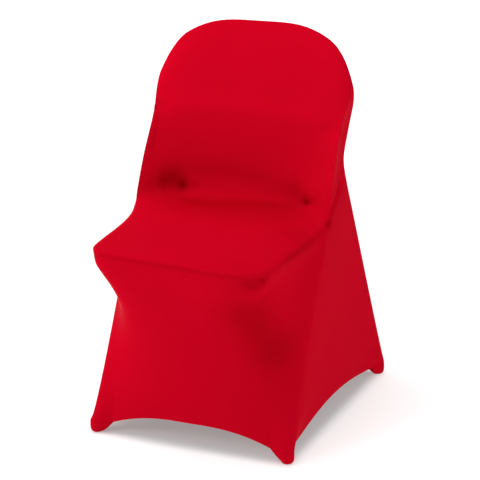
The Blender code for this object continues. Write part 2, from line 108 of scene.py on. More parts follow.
def ridge_line(rows, last=None):
    """A smooth line through the rows of a table, with each row's number of pieces."""
    keys = [np.array(row[:3]) for row in rows] + ([np.array(last)] if last is not None else [])
    counts = [row[3] for row in rows][:len(keys) - 1]
    reach = [np.linalg.norm(b - a) for a, b in zip(keys, keys[1:])]
    slopes = [(keys[1] - keys[0]) / reach[0]]
    for i in range(1, len(keys) - 1):
        slopes.append((keys[i + 1] - keys[i - 1]) / (reach[i - 1] + reach[i]))
    slopes.append((keys[-1] - keys[-2]) / reach[-1])
    points = [keys[0]]
    for i, count in enumerate(counts):
        for t in np.linspace(0.0, 1.0, count + 1)[1:]:
            start, end = 1 - t * t * (3 - 2 * t), t * t * (3 - 2 * t)
            pull = reach[i] * (t * (1 - t) ** 2 * slopes[i] - t * t * (1 - t) * slopes[i + 1])
            points.append(start * keys[i] + end * keys[i + 1] + pull)
    return np.array(points)


def mirrored(points):
    """The same points on the other side of the cover."""
    return np.asarray(points) * (-1.0, 1.0, 1.0)


def both_sides(points):
    """A line from one side to the other, from its half that runs from +X to the middle."""
    return np.concatenate([mirrored(points), points[-2::-1]])


def filled(bottom, top, left, right):
    """A net between four border lines."""
    u = np.linspace(0.0, 1.0, len(bottom))[None, :, None]
    v = np.linspace(0.0, 1.0, len(left))[:, None, None]
    across = (1 - u) * left[:, None] + u * right[:, None]
    along = (1 - v) * bottom[None] + v * top[None]
    corners = (1 - v) * ((1 - u) * bottom[0] + u * bottom[-1]) + v * ((1 - u) * top[0] + u * top[-1])
    return across + along - corners


def table_value(table, at, column=1):
    """A column of a table, read between its rows."""
    return np.interp(at, [row[0] for row in table], [row[column] for row in table])


def hood_middle(z):
    """Distance back of the middle of the hood's slab at a height."""
    return HOOD_MID[0] + HOOD_LEAN * (z - HOOD_MID[1])


def hood_edge(angle):
    """Outline of the hood's rounded corner: out, back, up."""
    out = CORNER_CENTRE[0] + CORNER_RADII[0] * abs(cos(radians(angle))) ** CORNER_POWER
    up = CORNER_CENTRE[1] + CORNER_RADII[1] * sin(radians(angle)) ** CORNER_POWER
    return np.array((out, hood_middle(up), up))


POINT = hood_edge(POINT_ANGLE)
FRONT_LINE = ridge_line(FRONT_RIDGE, POINT)
SEAT_ROW = BELOW_SEAT + SEAT_LIP
NOTCH_ROW = SEAT_ROW + TO_NOTCH
CORNER_ANGLES = np.linspace(POINT_ANGLE, CORNER_ANGLE, TO_CORNER + 1)[1:]
CORNER_LINE = np.array([hood_edge(angle) for angle in CORNER_ANGLES])
ARC_ANGLES = np.linspace(CORNER_ANGLE, 90.0, CORNER_TO_TOP + 1)
FLAT_X = np.linspace(CORNER_CENTRE[0], 0.0, FLAT_TOP + 1)[1:]
TOP_Z = CORNER_CENTRE[1] + CORNER_RADII[1]
TOP_HALF = np.array([hood_edge(angle) for angle in ARC_ANGLES]
                    + [(x, hood_middle(TOP_Z), TOP_Z) for x in FLAT_X])
TOP_LINE = both_sides(TOP_HALF)
CREASE_HALF = ridge_line(CREASE)
CREASE_LINE = both_sides(CREASE_HALF)


def inward(point):
    """Direction from the hood's outline into the hood, seen from the front: out, up."""
    reach = np.array(((abs(point[0]) - CORNER_CENTRE[0]) / CORNER_RADII[0] ** 2,
                      (point[2] - CORNER_CENTRE[1]) / CORNER_RADII[1] ** 2))
    reach = np.maximum(reach, 0.0)
    return -reach / np.linalg.norm(reach) * (np.sign(point[0]) or 1.0, 1.0)


def hood_face(x, z, side):
    """Distance back of the hood's front face (side -1) or back face (side 1)."""
    bow = HOOD_FRONT_BOW if side < 0 else HOOD_BACK_BOW
    hollow = bow * max(0.0, 1.0 - (x / CORNER_RADII[0] / 1.25) ** 2)
    return hood_middle(z) + side * table_value(HOOD_HALF_TABLE, z) + hollow


def hood_net(side_line, side):
    """Upper hood, from the notches to the top. side_line is its edge on +X, going up."""
    rows = len(side_line) - 1
    net = np.zeros((rows + 1, ACROSS + 1, 3))
    left, right = mirrored(side_line), side_line
    width = side_line[0][0]
    for r in range(rows + 1):
        for c in range(ACROSS + 1):
            from_side, from_top = min(c, ACROSS - c), rows - r
            ring = min(from_side, from_top)
            if ring > 2 or (from_top > 2 and from_side > 2):
                continue
            if from_side <= from_top:
                edge = (left if c < ACROSS / 2 else right)[r if from_side < from_top else rows]
            else:
                edge = TOP_LINE[c]
            if ring == 0:
                net[r, c] = edge
                continue
            step = inward(edge) * RIM_INSETS[ring] if edge[2] > side_line[0][2] + 0.01 else \
                np.array((-np.sign(edge[0]) * SIDE_INSETS[ring], 0.0))
            x, z = edge[0] + step[0], edge[2] + step[1]
            y = hood_face(x, z, side)
            if ring == 1:
                full = np.clip((edge[2] - side_line[0][2]) / (POINT[2] - side_line[0][2]), 0, 1)
                y -= side * (0.35 * table_value(HOOD_HALF_TABLE, z) * full - 0.001 * (1 - full))
            net[r, c] = (x, y, z)
    inner_width = net[0, ACROSS - 2, 0] / width
    for c in range(3, ACROSS - 2):
        x = (2.0 * (c - 2) / (ACROSS - 4) - 1.0) * inner_width * width
        net[0, c] = (x, hood_face(x, side_line[0][2], side), side_line[0][2])
    inside = net[:rows - 1, 2:ACROSS - 1]
    patch = filled(inside[0], inside[-1], inside[:, 0], inside[:, -1])
    for r in range(1, patch.shape[0] - 1):
        for c in range(1, patch.shape[1] - 1):
            x, _, z = patch[r, c]
            net[r, c + 2] = (x, hood_face(x, z, side), z)
    return net


def hood_front_net():
    """Front of the hood: the fall from the slab to the crease, then the upper hood."""
    upper = hood_net(np.concatenate([FRONT_LINE[NOTCH_ROW:], CORNER_LINE]), -1)
    lower = [CREASE_LINE]
    for r in range(1, TO_NOTCH):
        seam = FRONT_LINE[SEAT_ROW + r]
        middle_up, middle_back, power = HOOD_FALL[r - 1]
        settled = min(1.0, r / 2.0)
        half = []
        for c in range(ACROSS // 2 + 1):
            share = c / (ACROSS // 2)
            if c < 3:
                straight = seam[0] - SIDE_INSETS[c]
            else:
                straight = (seam[0] - SIDE_INSETS[2]) * (ACROSS / 2 - c) / (ACROSS / 2 - 2)
            x = (1 - settled) * CREASE_HALF[c][0] + settled * straight
            back = middle_back - (middle_back - seam[1]) * (x / seam[0]) ** power
            if c == 1:
                back -= 0.004
            half.append((x, back, seam[2] + (middle_up - seam[2]) * share))
        half[0] = tuple(seam)
        lower.append(both_sides(np.array(half)))
    return np.concatenate([np.array(lower), upper])


class Net:
    """Quads of all the panels. Their borders are joined later, where they meet."""

    def __init__(self):
        self.points, self.faces, self.panels = [], [], []

    def add(self, panel, grid, tip=None):
        """A panel's grid, with its rows going up and its columns going to the viewer's right."""
        first = len(self.points)
        rows, columns = grid.shape[:2]
        self.points += [tuple(point) for row in grid for point in row]
        for r in range(rows - 1):
            for c in range(columns - 1):
                low, high = first + r * columns + c, first + (r + 1) * columns + c
                self.faces.append((low, low + 1, high + 1, high))
        if tip is not None:
            top_row = first + (rows - 1) * columns
            self.points.append(tuple(tip))
            for c in range(columns - 1):
                self.faces.append((top_row + c, top_row + c + 1, len(self.points) - 1))
        self.panels += [panel] * (len(self.faces) - len(self.panels))


PANELS = ["hood_front", "seat", "skirt_front", "side_right", "side_left", "back"]
net = Net()
net.add(PANELS.index("hood_front"), hood_front_net())

HOLLOWS = [     # middle, how far and which way it is pushed, reach
    # the two dimples, each with the wider hollow above it
    ((-0.1445, 0.0493, 0.4782), (0.0, 0.0130, -0.0020), 0.0085),
    ((-0.1445, 0.0493, 0.4782), (0.0, 0.0040, 0.0), 0.018),
    ((-0.1640, 0.0430, 0.4990), (0.0, 0.0090, 0.0), 0.026),
    ((0.1529, 0.0493, 0.4759), (0.0, 0.0130, -0.0020), 0.0075),
    ((0.1529, 0.0493, 0.4759), (0.0, 0.0040, 0.0), 0.018),
    ((0.1270, 0.0540, 0.4980), (0.0, 0.0075, 0.0), 0.022),
]
FURROWS = [     # line, depth, width, share of the line over which each end fades
    # the hood's lower part, drawn in above the dimples
    ([(-0.190, 0.025, 0.492), (-0.138, 0.054, 0.506), (-0.050, 0.068, 0.508),
      (0.046, 0.066, 0.500), (0.109, 0.054, 0.492), (0.150, 0.050, 0.482)], 0.0055, 0.030, 0.20),
    # the roll between the dimples, which stands up from the seat
    ([(-0.1350, 0.0440, 0.4740), (-0.0950, 0.0460, 0.4700), (0.0000, 0.0430, 0.4660),
      (0.0950, 0.0460, 0.4700), (0.1400, 0.0440, 0.4730)], -0.0050, 0.0130, 0.16),
    ([(0.172, 0.040, 0.492), (0.184, 0.033, 0.484)], -0.0020, 0.013, 0.0),
    # a pull from the right dimple to the rear corner of the seat
    ([(0.160, 0.040, 0.472), (0.190, 0.012, 0.466), (0.2180, -0.009, 0.461)], -0.0015, 0.006, 0.20),
    # that corner, and the fold that runs up from it
    ([(0.2252, -0.0150, 0.458), (0.2252, -0.0070, 0.463)], 0.0050, 0.008, 0.0),
    ([(0.2231, -0.0119, 0.4649), (0.2241, 0.0149, 0.4882), (0.2216, 0.0512, 0.5085),
      (0.2190, 0.0756, 0.5324)], 0.0040, 0.008, 0.12),
    # the slab's lower edge, and the nick at each end of it
    ([(-0.2075, 0.0790, 0.6540), (-0.0825, 0.0933, 0.6568), (0.0389, 0.0952, 0.6581),
      (0.1177, 0.0894, 0.6525), (0.1835, 0.0792, 0.6446)], -0.0030, 0.022, 0.10),
    ([(-0.2150, 0.0720, 0.6500), (-0.1950, 0.0800, 0.6530)], 0.0009, 0.008, 0.0),
    ([(0.1850, 0.0790, 0.6420), (0.2100, 0.0730, 0.6390)], 0.0018, 0.008, 0.0),
    # the tight ridge down the hood's right edge, and the line beside each edge
    ([(0.2105, 0.0720, 0.6400), (0.2060, 0.0610, 0.6110), (0.2065, 0.0478, 0.5816),
      (0.2110, 0.0240, 0.5334), (0.2140, 0.0065, 0.4944)], -0.0016, 0.005, 0.10),
    ([(0.1950, 0.0660, 0.6050), (0.1950, 0.0530, 0.5750), (0.1990, 0.0300, 0.5300),
      (0.2020, 0.0150, 0.4990)], 0.0014, 0.006, 0.10),
    ([(-0.2060, 0.0690, 0.6250), (-0.2050, 0.0570, 0.5950), (-0.2050, 0.0400, 0.5550)],
     0.0014, 0.006, 0.10),
]
HOOD_SHADE_LINES = [  # painted shade on the hood: line, how deep in a fold it lies, reach
    ([(-0.1950, 0.0260, 0.4940), (-0.1600, 0.0460, 0.4960), (-0.1300, 0.0540, 0.4930)],
     0.62, 0.026),
    ([(-0.1500, 0.0540, 0.5120), (-0.0498, 0.0725, 0.5170), (0.0463, 0.0679, 0.5080),
      (0.1092, 0.0563, 0.4980), (0.1529, 0.0493, 0.4850)], 0.25, 0.032),
    ([(0.1150, 0.0560, 0.5000), (0.1500, 0.0500, 0.4820)], 0.30, 0.018),
    # painted shade over the hood's lower part
    ([(-0.1800, 0.0700, 0.5600), (0.1700, 0.0600, 0.5600)], 0.16, 0.060),
]

# Width and length of each panel as it is cut, and its area if it does not fill that rectangle
SHEETS = {"hood_front": (0.44, 0.42, None)}


def srgb(text):
    """Linear colour of an sRGB hex value."""
    values = np.array([int(text[i:i + 2], 16) / 255 for i in (0, 2, 4)])
    linear = np.where(values <= 0.04045, values / 12.92, ((values + 0.055) / 1.055) ** 2.4)
    return (*linear, 1.0)


def node(tree, kind, links=(), **settings):
    """Adds a node, sets its properties and sockets, and links sockets to it."""
    made = tree.nodes.new(kind)
    for name, value in settings.items():
        if hasattr(made, name):
            setattr(made, name, value)
        else:
            made.inputs[name.replace("_", " ")].default_value = value
    for name, source in links:
        tree.links.new(source, made.inputs[name])
    return made


KNIT_RED = ("BA031B", "C1031E")   # dyed knit varies a little over a palm's width
PAINTED_SHADE_RED = "960208"               # painted shade: between the sides of a fold the light turns a purer red, so folds are painted this red
PATCHES_PER_METRE = 9.0           # so a patch is about 110 mm wide
# A loop of this knit is about 0.5 mm, too fine to show, so its grain is drawn at 1.1 mm.
GRAINS_PER_METRE = 900.0


def satin_spandex_knit():
    """Warp-knit polyester and spandex with a satin face. It gives the eye one even, saturated
    red, with a soft sheen only where a stretched edge faces a light. Its fibre has an index of
    about 1.5, but the loops catch most of what it reflects, so the index is matched to that."""
    material = bpy.data.materials.new("satin_spandex_knit")
    material.use_nodes = True
    tree = material.node_tree
    tree.nodes.clear()
    place = node(tree, "ShaderNodeTexCoord").outputs["Object"]
    patches = node(tree, "ShaderNodeTexNoise", [("Vector", place)],
                   Scale=PATCHES_PER_METRE, Detail=2.0)
    dye = node(tree, "ShaderNodeMix", [("Factor", patches.outputs["Fac"])], data_type="RGBA")
    dye.inputs[6].default_value = srgb(KNIT_RED[0])
    dye.inputs[7].default_value = srgb(KNIT_RED[1])
    # painted shade: the fold attribute mixes the knit towards a darker, purer red in folds and
    # creases
    fold = node(tree, "ShaderNodeAttribute", attribute_name="fold")
    colour = node(tree, "ShaderNodeMix", [("Factor", fold.outputs["Fac"])], data_type="RGBA")
    tree.links.new(dye.outputs[2], colour.inputs[6])
    colour.inputs[7].default_value = srgb(PAINTED_SHADE_RED)
    grain = node(tree, "ShaderNodeTexNoise", [("Vector", place)],
                 Scale=GRAINS_PER_METRE, Detail=2.0)
    relief = node(tree, "ShaderNodeBump", [("Height", grain.outputs["Fac"])],
                  Strength=0.12, Distance=0.0006)
    shader = node(tree, "ShaderNodeBsdfPrincipled",
                  [("Base Color", colour.outputs[2]), ("Normal", relief.outputs["Normal"])],
                  Roughness=0.36, IOR=1.014, Specular_Tint=srgb("FF9098"))
    node(tree, "ShaderNodeOutputMaterial", [("Surface", shader.outputs["BSDF"])])
    return material


knit = satin_spandex_knit()


# Seat panel
# The same knit, drawn flat over the seat with rounded front corners. It is sewn to the hood in
# the crease behind it, and its other edges are sewn to the skirt.

SEAT_SIDE = 4                 # net pieces along each side, before the rounded corner
SEAT_Z = 0.4430
SEAT_OUTLINE = [              # out, back, up, pieces: corner ridge, front corner, front edge
    (0.2255, 0.2150, 0.4550, 1),
    (0.2135, 0.1600, 0.4450, 1),
    (0.2110, 0.0850, SEAT_Z, SEAT_SIDE - 2),
    (0.2060, -0.0480, SEAT_Z, 1),
    (0.1940, -0.0800, SEAT_Z, 1),
    (0.1600, -0.0910, SEAT_Z, ACROSS // 2 - 1),
    (0.0000, -0.0895, SEAT_Z, 0),
]
SEAT_RISE_POWER = 3.0


def seat_net():
    """Seat panel, from its front edge back to the crease."""
    outline = ridge_line(SEAT_OUTLINE)
    corner = SEAT_SIDE + 1
    front = both_sides(outline[corner:])
    side = outline[corner::-1]
    net = filled(front, CREASE_LINE, mirrored(side), side)
    share = np.linspace(0.0, 1.0, net.shape[0])[1:-1, None]
    rise = CREASE_LINE[None, 1:-1, 2] - SEAT_Z
    net[1:-1, 1:-1, 2] = SEAT_Z + rise * share ** SEAT_RISE_POWER
    return net


net.add(PANELS.index("seat"), seat_net())
SHEETS["seat"] = (0.42, 0.38, None)
SOFT_EDGES = [  # line, width, rounds: the seat's side edges are softer than its front edge
    ([(0.2130, -0.2800, 0.4430), (0.2110, -0.2000, 0.4430), (0.2160, -0.0900, 0.4450)], 0.018, 60),
    ([(-0.2110, -0.2400, 0.4430), (-0.2110, -0.1600, 0.4430), (-0.2160, -0.0900, 0.4450)],
     0.010, 20),
]
# painted shade on the seat: line, how deep in a fold it lies, reach
SEAT_SHADE_LINES = [
    # the rear of the seat, and the valley in front of the roll
    ([(-0.2000, 0.0100, 0.4660), (0.0, 0.0050, 0.4560), (0.2000, 0.0100, 0.4660)], 0.38, 0.055),
    ([(-0.1697, 0.0186, 0.4650), (-0.0867, 0.0199, 0.4590), (0.0233, 0.0387, 0.4600),
      (0.1400, 0.0450, 0.4670)], 0.56, 0.021),
    # painted shade along the seat's right side
    ([(0.1500, -0.1000, 0.4430), (0.1900, -0.0500, 0.4450)], 0.26, 0.060),
]


# Front skirt
# One piece of the knit round both seat corners, from the seat's edge down to an arched hem. It
# is stretched back from the overhanging seat to the corner ridges, which leaves it hollow between.

FRONT_FOOT = (0.2212, 0.0)    # centre of the right front foot: out, back
POCKET_TABLE = [              # height, radius of the round part of a foot pocket
    (0.0000, 0.0060),
    (0.0014, 0.0106),
    (0.0060, 0.0138),
    (0.0130, 0.0148),
    (0.0200, 0.0148),
    (POCKET_HEIGHT, 0.0146),
]
POCKET_LOBE = 0.0240          # how far a pocket's rim is drawn out towards each hem
SEAT_LIP_TABLE = [            # drop below the seat's edge, inset behind it
    (0.0520, 0.0165),
    (0.0360, 0.0065),
    (0.0170, 0.0040),
]
SKIRT_PULL = 0.72             # sideways share of the pull in the skirt
HEM_RISE = 0.0315             # how far a hem arch rises between two feet
HEM_POWER = 2.5


def stretched(net, across=0.5, rounds=80):
    """The net drawn tight between its borders, as stretch knit is. across is the sideways share
    of the pull."""
    net = net.copy()
    for _ in range(rounds):
        upright = (net[:-2, 1:-1] + net[2:, 1:-1]) / 2
        sideways = (net[1:-1, :-2] + net[1:-1, 2:]) / 2
        net[1:-1, 1:-1] = (1 - across) * upright + across * sideways
    return net


def on_rim(foot, angle, lobe=False):
    """A point on a pocket's rim, on its round part or at the tip of a lobe."""
    reach = POCKET_TABLE[-1][1] + (POCKET_LOBE if lobe else 0.0)
    return np.array((foot[0] + reach * cos(radians(angle)), foot[1] + reach * sin(radians(angle)),
                     POCKET_RIM_Z))


def hem_half(start, middle, count):
    """Half a hem arch, from a pocket's lobe to the middle of the arch."""
    start, middle = np.array(start), np.array(middle)
    share = np.linspace(0.0, 1.0, count + 1)[:, None]
    points = start + (middle - start) * share
    points[:, 2] = start[2] + HEM_RISE * (1 - (1 - share[:, 0]) ** HEM_POWER)
    return points


def skirt_net():
    """Front skirt: from the hem up to the seat edge, from one corner ridge round to the other."""
    outline = ridge_line(SEAT_OUTLINE)
    half = len(outline) - 1
    arch = hem_half(on_rim(FRONT_FOOT, 180.0, True), (0.0, -0.012, 0.0), half - 2)
    hem = both_sides(np.concatenate([[FRONT_LINE[0], on_rim(FRONT_FOOT, 250.0)], arch]))
    top = both_sides(outline)
    columns = len(top)
    middle = np.array((0.0, 0.10, 0.0))
    lip = []
    for r, (drop, inset) in enumerate(SEAT_LIP_TABLE):
        seam = FRONT_LINE[BELOW_SEAT + r]
        row = []
        for c in range(columns):
            held = min(1.0, min(c, columns - 1 - c) / 2.0)
            away = (top[c] - middle) * (1, 1, 0)
            edge = top[c] - away / np.linalg.norm(away) * inset - (0, 0, drop)
            ridge = seam if top[c][0] > 0 else mirrored(seam)
            row.append(held * edge + (1 - held) * ridge)
        lip.append(row)
    lip = np.array(lip)
    ridge = FRONT_LINE[:BELOW_SEAT + 1]
    free = stretched(filled(hem, lip[0], mirrored(ridge), ridge), SKIRT_PULL)
    return np.concatenate([free, lip[1:], top[None]])


net.add(PANELS.index("skirt_front"), skirt_net())
SHEETS["skirt_front"] = (0.66, 0.44, None)
# the seam along the right front corner, which is soft too
SOFT_EDGES.append(([(0.2256, -0.0600, 0.3950), (0.2262, -0.1500, 0.2700), (0.2275, -0.2200, 0.1000)],
                   0.014, 60))
# under the seat's right front corner
HOLLOWS.append(((0.1800, -0.3250, 0.4220), (-0.0060, 0.0150, 0.0), 0.016))
# the valley that runs from there down the corner
FURROWS.append(([(0.1860, -0.2950, 0.3850), (0.1860, -0.2400, 0.3250), (0.1950, -0.1950, 0.2550),
                 (0.2080, -0.2000, 0.1900)], 0.0140, 0.038, 0.30))
# the groove under the seat's front edge and the bead on it: drop, depth, width, way
EDGE_LINES = [
    (0.0110, 0.0028, 0.0085, (0.0, 1.0, 0.1)),
    (0.0, 0.0014, 0.0060, (0.0, -0.6, 0.8)),
]
EDGE_FADE = 0.06              # share of the line over which each end fades
EDGE_STEP = 6                 # every sixth point of the edge is enough to draw its line
EDGE_SHADE = (0.0100, 0.40, 0.005)   # painted shade under the seat's front edge: drop, how deep it is, reach
# painted shade on the skirt: line, how deep in a fold it lies, reach
SKIRT_SHADE_LINES = [
    # the valley, and the line down the corner below it
    ([(0.1450, -0.3000, 0.3850), (0.1480, -0.2600, 0.3250), (0.1750, -0.2150, 0.2500),
      (0.2050, -0.2100, 0.1800)], 0.56, 0.055),
    ([(0.2180, -0.2050, 0.1700), (0.2200, -0.2180, 0.1300), (0.2215, -0.2300, 0.0800)], 0.30, 0.007),
    # under the seat's front corner, along its side and at its rear corner
    ([(0.1600, -0.3260, 0.4200), (0.1850, -0.3200, 0.4230), (0.2020, -0.2950, 0.4280)], 0.70, 0.010),
    ([(0.2090, -0.2300, 0.4400), (0.2120, -0.1500, 0.4410), (0.2160, -0.0900, 0.4440),
      (0.2223, -0.0100, 0.4600)], 0.42, 0.012),
    ([(0.2223, -0.0150, 0.4570), (0.2223, -0.0050, 0.4620)], 0.75, 0.008),
]


# Side panels
# A three-cornered piece of the knit on each side, from an arched hem up to a point on the hood.
# Its edges are sewn to the skirt and the hood in front, and to the back behind.

SIDE_ACROSS = 7               # net pieces from the front corner ridge to the rear corner ridge
REAR_FOOT = (0.2268, 0.5500)
REAR_RIDGE = [                # out, back, up, and net pieces to the next row
    (0.2396, 0.5580, POCKET_RIM_Z, BELOW_SEAT + SEAT_LIP),
    (0.2205, 0.3450, 0.5150, 1),
    (0.2150, 0.3360, 0.5650, TO_NOTCH - 2),
    (0.2145, 0.3590, 0.6170, 1),
    (0.2160, 0.3760, 0.6580, TO_POINT - 1),
    (0.2260, 0.3700, 0.6950, 1),
]
REAR_LINE = ridge_line(REAR_RIDGE, POINT)
POINT_ROW = NOTCH_ROW + TO_POINT


def side_net():
    """Right side panel, with the fold that runs from the seat's rear corner to the rear ridge."""
    front_tip, rear_tip = on_rim(FRONT_FOOT, 90.0, True), on_rim(REAR_FOOT, 270.0, True)
    hem = [FRONT_LINE[0], on_rim(FRONT_FOOT, 0.0), front_tip]
    for share in np.linspace(0.0, 1.0, SIDE_ACROSS - 3)[1:-1]:
        point = front_tip + (rear_tip - front_tip) * share
        point[2] += HEM_RISE * (1 - abs(2 * share - 1) ** HEM_POWER)
        hem.append(point)
    hem = np.array(hem + [rear_tip, on_rim(REAR_FOOT, -10.0), REAR_LINE[0]])
    share = np.linspace(0.0, 1.0, SIDE_ACROSS + 1)[:, None]
    fold = FRONT_LINE[SEAT_ROW] * (1 - share) + REAR_LINE[SEAT_ROW] * share
    fold[1:-1, 0] += 0.002
    lower = filled(hem, fold, FRONT_LINE[:SEAT_ROW + 1], REAR_LINE[:SEAT_ROW + 1])
    lower = stretched(lower)
    upper = []
    for front, rear in zip(FRONT_LINE[SEAT_ROW + 1:POINT_ROW], REAR_LINE[SEAT_ROW + 1:POINT_ROW]):
        row = front * (1 - share) + rear * share
        row[:, 0] -= 0.10 * np.linalg.norm(rear - front) * (share * (1 - share))[:, 0]
        upper.append(row)
    return np.concatenate([lower, np.array(upper)])


right_side = side_net()
net.add(PANELS.index("side_right"), right_side, POINT)
net.add(PANELS.index("side_left"), mirrored(right_side)[:, ::-1], mirrored(POINT))
SHEETS["side_right"] = (0.50, 0.70, 0.19)
SHEETS["side_left"] = (0.50, 0.70, 0.19)


# Back panel
# One long piece of the knit from the top of the hood to the rear hem. It does not show in the
# photograph and is finished plainly.


def back_net():
    """Back panel, from the rear hem up to the top of the hood, seen from the front."""
    upper = hood_net(np.concatenate([REAR_LINE[NOTCH_ROW:], CORNER_LINE]), 1)
    arch = hem_half(on_rim(REAR_FOOT, 180.0, True), (0.0, REAR_FOOT[1], 0.0), ACROSS // 2 - 2)
    hem = both_sides(np.concatenate([[REAR_LINE[0], on_rim(REAR_FOOT, 105.0)], arch]))
    side = REAR_LINE[:NOTCH_ROW + 1]
    lower = stretched(filled(hem, upper[0], mirrored(side), side))
    return np.concatenate([lower, upper[1:]])


net.add(PANELS.index("back"), back_net()[:, ::-1])
SHEETS["back"] = (0.46, 0.90, None)


# Six large panels, sewn together
# The seams are tight, so the knit runs smoothly over most of them. The net is rounded as one
# cloth, creased, fitted to the pockets at its hems, and cut into the sewn panels.

# The cover does not sit quite square: the hood is a little higher on one side and shifted
# above the seat, and the seat is further forward on one side.
HOOD_TILT = 0.030
HOOD_SHIFT = 0.0015
SEAT_TURN = 0.060

# How sharp each seam is, from 0 to 1
SEAM_SHARPNESS = [(("seat", "skirt_front"), 0.20), (("seat", "hood_front"), 0.0)]
SEAM_SHARPNESS += [((edge, side), 0.80) for side in ("side_right", "side_left")
                   for edge in ("hood_front", "back")]
SEAM_SHARPNESS += [(("skirt_front", side), 0.25) for side in ("side_right", "side_left")]
SEAT_FRONT_Y = -0.300         # behind this the seam between seat and skirt is not sharp at all

JOIN_REACH = 0.00002          # border points closer than this are one point
LEVELS = 4
LEAST_PULL = 0.02             # softening leaves out points that would move less than this
PULL_STEP = 0.7
THICKNESS = 0.0009            # as drawn here; the real knit is about 0.6 mm thick
VISIBLE_GAP = 0.00008         # a sewn seam shows as a hairline only

LOBE_POWER = 6                # how sharply a pocket's rim turns in again under the cover
HEM_REACH = 0.022             # how far round a foot, and above its pocket, the hem is fitted
HEM_UP = 0.030
# Angle of each lobe of a pocket's rim, and on which side of it the outside lies
FRONT_LOBES = ((180.0, 1), (90.0, -1))
REAR_LOBES = ((180.0, -1), (270.0, 1))


def set_uneven(points):
    """The whole net as it really sits: hood a little tilted, seat edge a little turned."""
    points = points.copy()
    x, y, z = points.T.copy()
    high = np.clip((z - 0.62) / 0.16, 0.0, 1.0)
    points[:, 2] += HOOD_TILT * x * high * high * (3 - 2 * high)
    points[:, 0] -= HOOD_SHIFT * np.exp(-((z - 0.57) / 0.07) ** 2)
    near_seat = np.exp(-((z - SEAT_Z) / 0.10) ** 2) * np.clip((0.16 - y) / 0.20, 0.0, 1.0)
    points[:, 1] -= SEAT_TURN * x * near_seat
    points[:, 1] += FRONT_FEET_Y
    return points


def knit_cloth(levels):
    """All the panels as one mesh, rounded by a subdivision surface."""
    mesh = bpy.data.meshes.new("net")
    mesh.from_pydata([tuple(p) for p in set_uneven(np.array(net.points))], [], net.faces)
    for panel in PANELS:
        mesh.materials.append(None)
    mesh.polygons.foreach_set("material_index", net.panels)
    joined = bmesh.new()
    joined.from_mesh(mesh)
    bmesh.ops.remove_doubles(joined, verts=joined.verts, dist=JOIN_REACH)
    sharpness = joined.edges.layers.float.new("crease_edge")
    for edge in joined.edges:
        meeting = {PANELS[face.material_index] for face in edge.link_faces}
        for pair, value in SEAM_SHARPNESS:
            if meeting == set(pair):
                edge[sharpness] = value
        if meeting == {"seat", "skirt_front"} and min(v.co.y for v in edge.verts) > SEAT_FRONT_Y:
            edge[sharpness] = 0.0
    pinned = joined.verts.layers.float.new("crease_vert")
    for vert in joined.verts:
        if vert.co.z < POCKET_RIM_Z + JOIN_REACH:
            vert[pinned] = 1.0
    joined.to_mesh(mesh)
    joined.free()
    whole = bpy.data.objects.new("net", mesh)
    bpy.context.collection.objects.link(whole)
    surface = whole.modifiers.new("rounding", "SUBSURF")
    surface.levels = surface.render_levels = levels
    surface.boundary_smooth = "PRESERVE_CORNERS"
    evaluated = whole.evaluated_get(bpy.context.evaluated_depsgraph_get())
    rounded = bpy.data.meshes.new_from_object(evaluated)
    bpy.data.objects.remove(whole, do_unlink=True)
    return rounded


def corner_normals(points, quads):
    """Normals at the corners of a mesh of quads, weighted by the angles that meet there."""
    normals = np.zeros_like(points)
    for k in range(4):
        here, after, before = quads[:, k], quads[:, (k + 1) % 4], quads[:, (k + 3) % 4]
        one, other = points[after] - points[here], points[before] - points[here]
        normal = np.cross(one, other)
        size = np.linalg.norm(normal, axis=1)
        angle = np.arctan2(size, (one * other).sum(axis=1))
        np.add.at(normals, here, normal / np.maximum(size, 1e-15)[:, None] * angle[:, None])
    return normals / np.maximum(np.linalg.norm(normals, axis=1, keepdims=True), 1e-12)


def line_reach(points, line):
    """Distance of each point from a line of straight pieces, and its share of the way along."""
    line = np.array(line)
    lengths = np.linalg.norm(np.diff(line, axis=0), axis=1)
    starts = np.concatenate([[0.0], np.cumsum(lengths)])
    best = np.full(len(points), 1e9)
    share = np.zeros(len(points))
    for i, length in enumerate(lengths):
        along = (line[i + 1] - line[i]) / length
        t = np.clip((points - line[i]) @ along, 0.0, length)
        away = np.linalg.norm(points - line[i] - t[:, None] * along, axis=1)
        nearer = away < best
        best[nearer] = away[nearer]
        share[nearer] = (starts[i] + t[nearer]) / starts[-1]
    return best, share


def furrow(points, normals, line, depth, width, ends=0.25, way=None):
    """Push along a soft furrow, or a ridge if depth is negative, fading out at its ends. It goes
    against the normals, or along way where that is given."""
    near = np.where(np.linalg.norm(points - np.mean(line, axis=0), axis=1)
                    < np.ptp(np.array(line), axis=0).max() + 4 * width)[0]
    away, share = line_reach(points[near], line)
    fade = np.clip(np.minimum(share, 1 - share) / ends, 0.0, 1.0) if ends else 1.0
    fade = fade * fade * (3 - 2 * fade)
    amount = (depth * np.exp(-(away / width) ** 2) * fade)[:, None]
    points[near] += amount * (-normals[near] if way is None else np.array(way))


def dimple(points, middle, push, width):
    """A hollow pulled in at one point. push is how far and which way."""
    away = np.linalg.norm(points - np.array(middle), axis=1)
    points += np.exp(-(away / width) ** 2)[:, None] * np.array(push)


def soften(points, quads, line, width, rounds):
    """Rounds an edge off along a line by pulling each point towards its neighbours."""
    away, _ = line_reach(points, line)
    pull = np.exp(-(away / width) ** 2)
    near = quads[(pull[quads] > LEAST_PULL).any(axis=1)]
    one = np.concatenate([near[:, k] for k in range(4)])
    other = np.concatenate([near[:, (k + 1) % 4] for k in range(4)])
    one, other = np.concatenate([one, other]), np.concatenate([other, one])
    size = len(points)
    count = np.maximum(np.bincount(one, minlength=size), 1)
    moving = (pull > LEAST_PULL)[:, None] * pull[:, None]
    for _ in range(rounds):
        middle = np.stack([np.bincount(one, points[other, k], size) for k in range(3)], axis=1)
        points += moving * (middle / count[:, None] - points) * PULL_STEP


